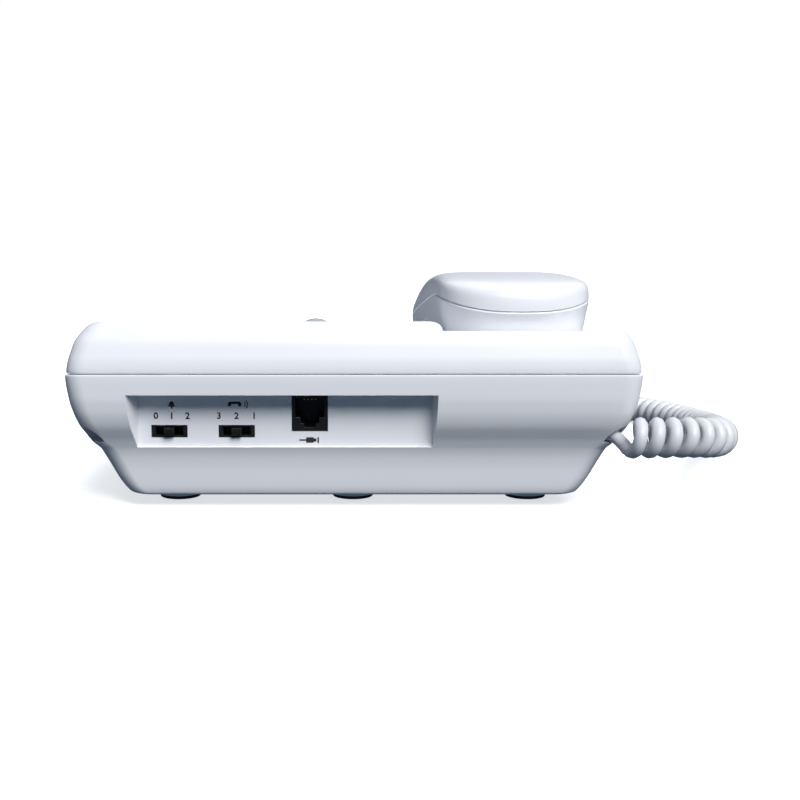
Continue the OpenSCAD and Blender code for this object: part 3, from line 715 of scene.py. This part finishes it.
def make_top_housing():
    shell = base_solid("top_shell", TONGUE + smooth_profile(UPPER_PROFILE, 3))
    cavity = base_solid("top_cavity", UPPER_CAVITY, 4)
    stock = block("cradle_stock", (-60, -130, -POCKET_DROP - WALL), (28, 130, 60), HANDSET_FRAME)
    cut(cavity, stock)
    cut(cavity, joined("pillars", [prism("pillar", circle(PILLAR_R, 24, p), 10, 80) for p in CASE_SCREWS]))
    cut(shell, cavity)
    # The tray under the pocket reaches below the joint towards the front.
    add(shell, prism("tray", handset_outline(POCKET_MARGIN - WALL), 0.05 - POCKET_DROP - WALL, -WALL,
                     HANDSET_FRAME))
    deck_place = deck_frame(0, 0, CRADLE_DROP) @ UPRIGHT
    cut(shell, prism("cradle_deck", step_outline(), -130, 130, deck_place))
    cut(shell, flared_hole("pocket", lambda grow: handset_outline(POCKET_MARGIN - grow), POCKET_DROP, 0.7,
                           HANDSET_FRAME))
    scoop_frame = (HANDSET_FRAME @ Matrix.Translation((SCOOP_FROM_X, 0, SCOOP_V))
                   @ Matrix.Rotation(math.pi / 2, 4, "Y"))
    cut(shell, prism("scoop", circle(SCOOP_R, 144), 0, SCOOP_L, scoop_frame))
    # The gap in the front rim for the cord that leaves the handset.
    rim = HANDSET_FRAME @ Matrix.Translation((0, 0, 10)) @ UPRIGHT
    cut(shell, prism("rim_notch", rounded_rectangle(7.5, 15, 3), HANDSET_L / 2 - 9, HANDSET_L / 2 + 21, rim))
    holes = []
    for x, y, w, l in KEY_PLACES.values():
        holes.append(flared_hole("key_hole", lambda grow, w=w, l=l: rounded_rectangle(
            w / 2 + KEY_GAP + grow, l / 2 + KEY_GAP + grow, 3.4 + grow, 6), 10, 0.4, deck_frame(x, y)))
    holes.append(flared_hole("lens_hole", lambda grow: circle(LENS_HOLE_R + grow), 8, 0.2,
                             deck_frame(*LENS_AT)))
    # The holes are cut one by one: as one cutter they leave a stray face between two keys.
    cut(shell, *holes)
    hook_outline = rounded_rectangle(HOOK_SLOT[0] / 2, HOOK_SLOT[1] / 2, 1.4)
    cut(shell, prism("hook_slot", hook_outline, -POCKET_DROP - 6, -POCKET_DROP + 2,
                     HANDSET_FRAME @ Matrix.Translation((0, HOOK_U, 0))))
    tidy(shell)
    soften(shell, 0.0, 30.0)
    return dress(shell, "root", "housing_white", "top_housing")


# ---------------------------------------------------------------- handset
SHELL = 2.2
EAR_U, MIC_U = 66, -68
GRIP_R, GRIP_TOP = 64.0, 8.0
SCREW_PLACES = [(12, 34), (12, -36)]
SCREW_LEDGE = 8.0
BACK_PROFILE = [(0, 0.0), (0.1, 0.3), (0.5, 0.6), (1.8, 0.8), (5, 0.93), (11, 0.99), (20, 1.0)]
FACE_PROFILE = [
    (8.0, -9.0), (6.2, -8.95), (5.0, -8.6), (4.2, -7.7), (3.5, -6.0), (2.9, -3.6), (2.6, -2.0),
]
EAR_RING_R = 7.0
EAR_HOLE_R = 1.1
MIC_HOLE_R = 0.9


def along(y, power):
    """A low arch along the handset: 1 at its middle and 0 at its ends."""
    return 1 - abs(2 * y / HANDSET_L) ** power


def joint_v(y):
    """Height of the joint between the handset's shells, in the handset's frame."""
    return HANDSET_JOINT_END + HANDSET_JOINT_RISE * along(y, 5)


def back_v(y):
    """Height of the handset's back along its middle line."""
    return HANDSET_END_H + (HANDSET_CROWN - HANDSET_END_H) * along(y, 2)


def handset_rings(levels):
    """Rings from (inset, height function) pairs."""
    return [[(x, y, height(y)) for x, y in handset_outline(inset)] for inset, height in levels]


def back_solid(name, inset, drop, low):
    levels = []
    if not inset:
        levels.append((0.45, lambda y: joint_v(y) + low))
    for p, share in smooth_profile(BACK_PROFILE, 4):
        if share <= 0:
            levels.append((p + inset, lambda y: joint_v(y) + low + (0.35 if not inset else 0.0)))
        else:
            lift = (0.0 if inset else 0.5 * (1 - share) ** 3) - drop
            levels.append((p + inset, lambda y, s=share, e=lift:
                           joint_v(y) + s * (back_v(y) - joint_v(y)) + e))
    return handset_stack(name, handset_rings(levels), HANDSET_FRAME)


def face_solid(name, inset, lift):
    levels = [(a + inset, lambda y, v=v: v + lift) for a, v in smooth_profile(FACE_PROFILE, 2)]
    if inset:
        levels.append((inset, lambda y: joint_v(y) + lift))
    else:
        for share in (0.25, 0.5, 0.75):
            levels.append((2.6 * (1 - share), lambda y, s=share: -2 + s * (joint_v(y) + 1.6)))
        levels += [(0.0, lambda y: joint_v(y) - 0.4), (0.4, joint_v)]
    return handset_stack(name, handset_rings(levels), HANDSET_FRAME)


def grip_gap(extra):
    """The room for the fingers between the cups, as a lying cylinder."""
    turned = (HANDSET_FRAME @ Matrix.Translation((-50, 0, GRIP_TOP - GRIP_R))
              @ Matrix.Rotation(math.pi / 2, 4, "Y"))
    return prism("grip_gap", circle(GRIP_R + extra, 160), 0, 100, turned)


def round_grip_edge(piece, width):
    """Rounds the edges that the grip's cut left on the face shell."""
    axis = HANDSET_FRAME @ Vector((0, 0, GRIP_TOP - GRIP_R))
    bm = bmesh.new()
    bm.from_mesh(piece.data)
    bmesh.ops.remove_doubles(bm, verts=bm.verts, dist=2e-6)

    def on_cut(vertex):
        y, z = vertex.co.y / MM - axis.y, vertex.co.z / MM - axis.z
        return abs(math.hypot(y, z) - GRIP_R) < 0.06

    edges = [e for e in bm.edges if len(e.link_faces) == 2 and all(on_cut(v) for v in e.verts)
             and e.calc_face_angle() > math.radians(35)]
    bmesh.ops.bevel(bm, geom=edges, offset=width * MM, segments=4, profile=0.5, affect="EDGES")
    bm.to_mesh(piece.data)
    bm.free()


def screw_prism(name, radius, low, high):
    return joined(name, [prism(name, circle(radius, 32, p), low, high, HANDSET_FRAME) for p in SCREW_PLACES])


def make_handset():
    back = back_solid("handset_back", 0, 0, 0.15)
    cut(back, back_solid("back_cavity", SHELL, SHELL, -1))
    dress(soften(back, 0.0, 35.0), "handset", "handset_white", "handset_back_shell")

    face = face_solid("handset_face", 0, 0)
    cut(face, grip_gap(0))
    round_grip_edge(face, 1.6)
    cavity = face_solid("face_cavity", SHELL, SHELL)
    cut(cavity, grip_gap(SHELL))
    cut(cavity, screw_prism("screw_posts", 4.4, -12, 30))
    cut(face, cavity)
    wells = [screw_prism("screw_wells", 2.8, -20, SCREW_LEDGE), screw_prism("screw_bores", 1.5, 0, 20)]
    cut(face, *wells)
    ear_places = [(EAR_RING_R * math.cos(a), EAR_U + EAR_RING_R * math.sin(a))
                  for a in (math.radians(60 * k) for k in range(6))] + [(0, EAR_U)]
    mic_places = [(4 * i, MIC_U) for i in (-1, 0, 1)]
    outlines = [circle(EAR_HOLE_R, 24, p) for p in ear_places]
    outlines += [circle(MIC_HOLE_R, 24, p) for p in mic_places]
    cut(face, joined("sound_holes", [prism("hole", outline, -12, -4, HANDSET_FRAME) for outline in outlines]))
    cut(face, block("socket_seat", (-6.2, -HANDSET_L / 2 - 22, -6.4), (6.2, -HANDSET_L / 2 + 12, 5.8),
                    HANDSET_FRAME))
    tidy(face)
    dress(soften(face, 0.0, 35.0), "handset", "handset_white", "handset_face_shell")


# ---------------------------------------------------------------- keys
KEY_NAMES = ["key_1", "key_2", "key_3", "key_4", "key_5", "key_6", "key_7", "key_8", "key_9",
             "key_star", "key_0", "key_hash"]
KEY_PLACES = {
    name: (COLUMN_X[i % 3], ROW_Y[i // 3], *KEY_SIZE) for i, name in enumerate(KEY_NAMES)
}
for i, name in enumerate(["key_flash", "key_redial", "key_mute"]):
    KEY_PLACES[name] = (COLUMN_X[i], FUNCTION_Y, *FUNCTION_SIZE)
KEY_MARKS = {"key_star": "*", "key_hash": "#"}


DISH_DEPTH = 0.45
KEY_EDGE_R = 1.1
KEY_RIM = 1.15


def key_dish(x, y, half_x, half_y):
    """How far the key's top sinks towards its middle."""
    return DISH_DEPTH * max(0.0, 1 - (x / half_x) ** 2) * max(0.0, 1 - (y / half_y) ** 2)


def make_key(node):
    x, y, w, l = KEY_PLACES[node]
    hx, hy = w / 2, l / 2
    rings = []
    # The flange under the deck, then the sides up to the rounded rim.
    for grow, z in ((1.3, -WALL - 1.5), (1.3, -WALL - 0.45), (0.02, -WALL - 0.4), (0.0, -1.0), (-0.05, 1.2)):
        outline = rounded_rectangle(hx + grow, hy + grow, 3.0 + grow * 0.3, 6)
        rings.append([(px, py, z) for px, py in outline])
    for k in range(1, 6):
        a = math.radians(90 * k / 5)
        inset, z = 0.05 + KEY_EDGE_R * (1 - math.cos(a)), KEY_H - KEY_EDGE_R + KEY_EDGE_R * math.sin(a)
        outline = rounded_rectangle(hx - inset, hy - inset, 3.0 - 0.7 * inset, 6)
        rings.append([(px, py, z) for px, py in outline])
    top_x, top_y = hx - KEY_RIM, hy - KEY_RIM
    for share in (0.84, 0.66, 0.48, 0.30, 0.14):
        outline = rounded_rectangle(top_x * share, top_y * share, 2.2 * share, 6)
        rings.append([(px, py, KEY_H - key_dish(px, py, top_x, top_y)) for px, py in outline])
    piece = stack(node + "_cap", rings, deck_frame(x, y))
    return dress(soften(piece, 0.0, 40.0), node, "key_white", node)


def text_mesh(name, body, height, matrix, thickness=0.06, bold=0.03):
    """Figures as a thin raised print, centred on the matrix's origin."""
    data = bpy.data.curves.new(name, "FONT")
    data.body = body
    data.size = 1.0
    data.align_x = "CENTER"
    data.extrude = 0.5
    data.offset = bold
    data.resolution_u = 6
    text = bpy.data.objects.new(name, data)
    scene.collection.objects.link(text)
    depsgraph = bpy.context.evaluated_depsgraph_get()
    mesh = bpy.data.meshes.new_from_object(text.evaluated_get(depsgraph), depsgraph=depsgraph)
    bpy.data.objects.remove(text)
    low = min(v.co.y for v in mesh.vertices)
    high = max(v.co.y for v in mesh.vertices)
    scale = height / (high - low)
    mesh.transform(Matrix.Translation((0, -(low + high) / 2, 0)))
    mesh.transform(Matrix.Diagonal((scale, scale, thickness, 1)))
    mesh.transform(Matrix.Scale(MM, 4) @ matrix)
    piece = bpy.data.objects.new(name, mesh)
    scene.collection.objects.link(piece)
    return piece


def ring_outline(radius, width, start, end, steps=28):
    """Part of a flat ring, in degrees."""
    angles = [math.radians(start + (end - start) * k / steps) for k in range(steps + 1)]
    outer_r, inner_r = radius + width / 2, radius - width / 2
    outer = [(outer_r * math.cos(a), outer_r * math.sin(a)) for a in angles]
    inner = [(inner_r * math.cos(a), inner_r * math.sin(a)) for a in reversed(angles)]
    return outer + inner


def bar_outline(x0, y0, x1, y1, width):
    """A straight stroke between two points."""
    along_it = Vector((x1 - x0, y1 - y0)).normalized() * width / 2
    across = Vector((-along_it.y, along_it.x))
    a, b = Vector((x0, y0)), Vector((x1, y1))
    return [tuple(a - across), tuple(b - across), tuple(b + across), tuple(a + across)]


def print_shapes(name, outlines, matrix, thickness=0.06):
    """Flat shapes as a thin raised print."""
    pieces = []
    for outline in outlines:
        area = sum(a[0] * b[1] - b[0] * a[1] for a, b in zip(outline, outline[1:] + outline[:1]))
        turned = outline if area > 0 else outline[::-1]
        pieces.append(prism(name, turned, -thickness / 2, thickness / 2, matrix))
    return joined(name, pieces)


def lay_in_dish(piece, face, half_x, half_y):
    """Lifts a key's print up the slopes of the key's dish."""
    placed = Matrix.Scale(MM, 4) @ face
    back = placed.inverted()
    for vertex in piece.data.vertices:
        at = back @ vertex.co
        at.z += key_dish(0, 0, half_x, half_y) - key_dish(at.x, at.y, half_x, half_y)
        vertex.co = placed @ at


KEY_PRINT = 0.16
FIGURE_H = 5.6
STAR_H = 3.4
FUNCTION_MARKS = {
    "key_flash": [[(0.9, 3.0), (-1.7, -0.4), (-0.2, -0.4), (-0.9, -3.0), (1.7, 0.5), (0.2, 0.5)]],
    "key_redial": [ring_outline(2.2, 0.6, 30, 320), [(1.1, 1.0), (3.1, 1.0), (2.2, -0.7)]],
    "key_mute": [ring_outline(2.3, 0.6, 0, 359), bar_outline(-1.7, -1.7, 1.7, 1.7, 0.6)],
}


def mark_keys():
    for node, (x, y, w, l) in KEY_PLACES.items():
        raise_by = KEY_H - key_dish(0, 0, w, l) + 0.03
        face = deck_frame(x, y) @ Matrix.Translation((0, 0, raise_by))
        if node in FUNCTION_MARKS:
            mark = print_shapes(node + "_mark", FUNCTION_MARKS[node], face, KEY_PRINT)
        else:
            figure = KEY_MARKS.get(node, node[-1])
            height = STAR_H if figure == "*" else FIGURE_H
            mark = text_mesh(node + "_mark", figure, height, face, KEY_PRINT, bold=0.0)
        lay_in_dish(mark, face, w / 2 - KEY_RIM, l / 2 - KEY_RIM)
        dress(mark, node, "key_white", material=printed_ink)


# ---------------------------------------------------------------- rear panel print
def rear_face(x, z):
    """A frame on the recess's back wall, seen from behind: X to the viewer's right, Z out of the wall."""
    lift = 0.02
    return (Matrix.Translation((x, RECESS_Y + lift, z)) @ Matrix.Rotation(math.pi, 4, "Z")
            @ Matrix.Rotation(math.pi / 2, 4, "X"))


BELL = [(-1.3, -0.8), (1.3, -0.8), (0.9, -0.3), (0.75, 0.5), (0.45, 0.95), (0, 1.15), (-0.45, 0.95),
        (-0.75, 0.5), (-0.9, -0.3)]


SIGN_ROW_Z = 37.1
FIGURE_ROW_Z = 33.2
LINE_SIGN_Z = 24.8
PANEL_FIGURE_H = 2.3
RINGER_PRINT_X = RINGER_X - 0.9


def print_rear_panel():
    """Position numbers and plain signs beside the switches and the line socket."""
    marks = []
    for name, x, pitch, figures in (("ringer", RINGER_PRINT_X, 5.4, "012"), ("volume", VOLUME_X, 6.0, "321")):
        for k, figure in enumerate(figures):
            place = rear_face(x + pitch * (1 - k), FIGURE_ROW_Z)
            marks.append(text_mesh(f"{name}_mark_{figure}", figure, PANEL_FIGURE_H, place))
    bell = [BELL, circle(0.35, 16, (0, -1.15))]
    marks.append(print_shapes("bell_mark", bell, rear_face(RINGER_PRINT_X, SIGN_ROW_Z)))
    handset = [bar_outline(-1.9, 0.55, 1.9, 0.55, 0.8), bar_outline(-1.75, -0.6, -1.75, 0.6, 1.1),
               bar_outline(1.75, -0.6, 1.75, 0.6, 1.1)]
    waves = [ring_outline(r, 0.32, -48, 48, 10) for r in (1.0, 1.8)]
    waves = [[(x + 2.6, y) for x, y in w] for w in waves]
    marks.append(print_shapes("volume_mark", handset + waves, rear_face(VOLUME_X + 0.6, SIGN_ROW_Z)))
    plug = [bar_outline(-3.6, 0, -1.2, 0, 0.5), rounded_rectangle(1.3, 0.95, 0.25, 3),
            [(1.2, -0.55), (2.2, -0.55), (2.2, 0.55), (1.2, 0.55)],
            [(2.6, -1.0), (3.1, -1.0), (3.1, 1.0), (2.6, 1.0)]]
    marks.append(print_shapes("line_mark", plug, rear_face(LINE_X, LINE_SIGN_Z)))
    for mark in marks:
        dress(mark, "root", "housing_white", material=printed_ink)


# ---------------------------------------------------------------- slide switches
def make_knob(node, x):
    """A slider with five finger ribs on its face."""
    half_w, half_h = 1.7, 1.28
    back, face = RECESS_Y - 6.6, RECESS_Y + 2.0
    groove, rib_pitch = face - 0.45, 0.65
    outline = [(-half_w, back), (half_w, back), (half_w, groove)]
    for k in range(5):
        left = 1.5 - rib_pitch * k
        outline += [(left, groove), (left - 0.1, face - 0.02), (left - 0.3, face - 0.02),
                    (left - 0.4, groove)]
    outline.append((-half_w, groove))
    place = Matrix.Translation((x, 0, 0))
    piece = prism(node + "_slider", outline, SWITCH_Z - half_h, SWITCH_Z + half_h, place)
    return dress(soften(piece, 0.05, 30.0), node.replace("_switch", ""), "black_plastic", node)


make_bottom_housing()
make_top_housing()
make_handset()
for key_node in KEY_PLACES:
    make_key(key_node)
mark_keys()
print_rear_panel()
make_knob("ringer_switch_knob", RINGER_X)
make_knob("volume_switch_knob", VOLUME_X)
# CAD nodes that only need rounded edges, with the width of the rounding.
EDGES = {
    "foot_pads": 0.5, "line_jack": 0.18, "handset_jack": 0.2, "handset_socket": 0.2,
    "ringer_switch_body": 0.12, "volume_switch_body": 0.12, "hook_plunger": 0.35,
    "base_cord_plug": 0.35, "handset_cord_plug": 0.35, "case_screws": 0.15, "handset_screws": 0.15,
    "indicator_lens": 0.08,
}
for node_name, edge in EDGES.items():
    refined(node_name, edge)

# ---------------------------------------------------------------- floor, backdrop and light
FLOOR_R = 30000
BACKDROP_R = 29000
BACKDROP_H = 25000
FLOOR_GLOW = 0.65


def make_stage():
    """A plain pale floor and a white backdrop, which add no light of their own to the object."""
    floor = prism("floor", circle(FLOOR_R, 64), -20, 0)
    floor_material, _, shader = new_material("floor", (0.96, 0.96, 0.96), 0.75)
    shader.inputs["Emission Color"].default_value = (1, 1, 1, 1)
    shader.inputs["Emission Strength"].default_value = FLOOR_GLOW
    floor.data.materials.append(floor_material)
    backdrop = prism("backdrop", circle(BACKDROP_R, 64), -10, BACKDROP_H)
    backdrop_material, _, shader = new_material("backdrop", (0, 0, 0), 1.0)
    shader.inputs["Emission Color"].default_value = (1, 1, 1, 1)
    shader.inputs["Emission Strength"].default_value = 1.0
    backdrop.data.materials.append(backdrop_material)
    backdrop.visible_shadow = False
    open_ends = bmesh.new()
    open_ends.from_mesh(backdrop.data)
    caps = [face for face in open_ends.faces if abs(face.normal.z) > 0.5]
    bmesh.ops.delete(open_ends, geom=caps, context="FACES")
    open_ends.to_mesh(backdrop.data)
    open_ends.free()
    for piece in (floor, backdrop):
        piece.visible_diffuse = False
        piece.visible_glossy = False


def sun_light(name, direction, spread, strength):
    """A soft distant light that shines along a direction."""
    data = bpy.data.lights.new(name, "SUN")
    data.energy = strength
    data.angle = math.radians(spread)
    light = bpy.data.objects.new(name, data)
    light.rotation_euler = Vector(direction).to_track_quat("-Z", "Y").to_euler()
    scene.collection.objects.link(light)


make_stage()
sun_light("key", (0.3, -0.66, -0.74), 36, 3.6)
sun_light("front", (0.1, 0.6, -0.8), 60, 0.75)
world = bpy.data.worlds.new("studio")
world.use_nodes = True
world.node_tree.nodes["Background"].inputs["Color"].default_value = (0.5, 0.72, 1.0, 1.0)
world.node_tree.nodes["Background"].inputs["Strength"].default_value = 0.12
scene.world = world
scene.view_settings.view_transform = "Standard"

cord_piece.data.materials.append(SLOT_MATERIALS["cord_white"])
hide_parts("base_cord_tail", "cord_coil", "handset_cord_tail")
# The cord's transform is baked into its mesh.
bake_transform(cord_piece)
